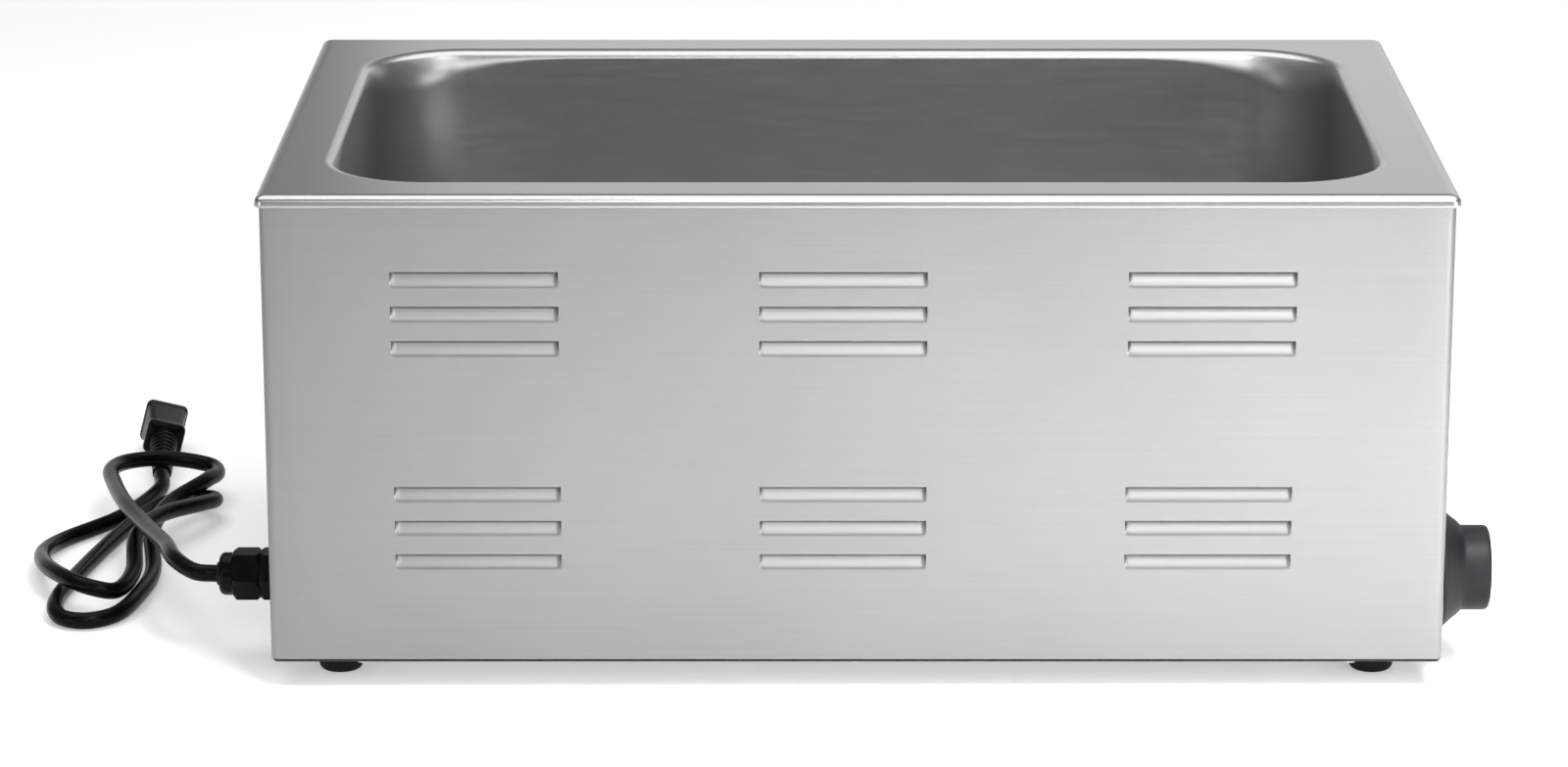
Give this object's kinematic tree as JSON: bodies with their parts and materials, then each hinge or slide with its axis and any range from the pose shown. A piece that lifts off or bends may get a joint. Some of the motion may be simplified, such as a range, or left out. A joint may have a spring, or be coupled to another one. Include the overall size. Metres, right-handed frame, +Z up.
{
  "type": "countertop food warmer",
  "caption": "Stainless bain-marie with a deep rounded rectangular well, louvred sides, rubber feet, an end-mounted thermostat knob and a mains lead with a moulded plug.",
  "frame": {"origin": "on the worktop, under the middle of the body", "axes": "+X towards the end with the thermostat knob, -Y towards the front louvred side, +Z up"},
  "size_m": [0.7395, 0.4477, 0.248],
  "materials": {
    "brushed_steel": "brushed along the length of each panel, satin",
    "dull_steel": "mill finish, slightly dull",
    "zinc_plate": "bright zinc plating",
    "foot_rubber": "matt moulded rubber",
    "knob_plastic": "satin moulded plastic",
    "white_mark": "satin",
    "brass": "turned",
    "black_nylon": "satin moulded nylon",
    "cord_jacket": "smooth satin jacket",
    "nickel": "nickel plated",
    "bakelite": "moulded thermoset",
    "ceramic": "unglazed ceramic",
    "glass_fibre": "loose glass-fibre felt",
    "wire_black": "insulated wire",
    "wire_white": "insulated wire",
    "wire_green": "insulated wire",
    "wire_red": "insulated wire"
  },
  "bodies": {
    "housing": {"base_plate": "dull_steel", "base_screw_1": "zinc_plate", "base_screw_2": "zinc_plate", "base_screw_3": "zinc_plate", "base_screw_4": "zinc_plate", "base_screw_5": "zinc_plate", "base_screw_6": "zinc_plate", "bulb_clip_1": "zinc_plate", "bulb_clip_2": "zinc_plate", "capillary_bulb": "nickel", "clamp_nut_1": "zinc_plate", "clamp_nut_2": "zinc_plate", "clamp_nut_3": "zinc_plate", "clamp_stud_1": "zinc_plate", "clamp_stud_2": "zinc_plate", "clamp_stud_3": "zinc_plate", "cord_tail": "cord_jacket", "earth_nut": "brass", "earth_stud": "brass", "element_clamp_1": "zinc_plate", "element_clamp_2": "zinc_plate", "element_clamp_3": "zinc_plate", "foot_front_left": "foot_rubber", "foot_front_right": "foot_rubber", "foot_rear_left": "foot_rubber", "foot_rear_right": "foot_rubber", "foot_screw_front_left": "zinc_plate", "foot_screw_front_right": "zinc_plate", "foot_screw_rear_left": "zinc_plate", "foot_screw_rear_right": "zinc_plate", "gland_body": "black_nylon", "gland_cap_nut": "black_nylon", "gland_locknut": "black_nylon", "heat_shield": "zinc_plate", "heating_element": "dull_steel", "high_limit_cutout": "bakelite", "insulation_wrap": "glass_fibre", "outer_shell": "brushed_steel", "plug_blade_line": "nickel", "plug_blade_neutral": "nickel", "plug_body": "cord_jacket", "plug_ground_pin": "nickel", "power_cord": "cord_jacket", "terminal_block": "ceramic", "terminal_block_screw": "zinc_plate", "thermostat_body": "bakelite", "thermostat_screw_1": "zinc_plate", "thermostat_screw_2": "zinc_plate", "well_pan": "brushed_steel", "wire_earth": "wire_green", "wire_limit": "wire_red", "wire_live": "wire_black", "wire_neutral": "wire_white", "wire_switched": "wire_red"},
    "dial": {"knob": "knob_plastic", "knob_insert": "brass", "knob_marker": "white_mark", "thermostat_spindle": "zinc_plate"}
  },
  "joints": [
    {"name": "knob_turn", "type": "hinge", "parent": "housing", "child": "dial", "pos_m": [0.285, -0.138, 0.0488], "axis": [-1, 0, 0], "range_deg": [0, 270]}
  ]
}
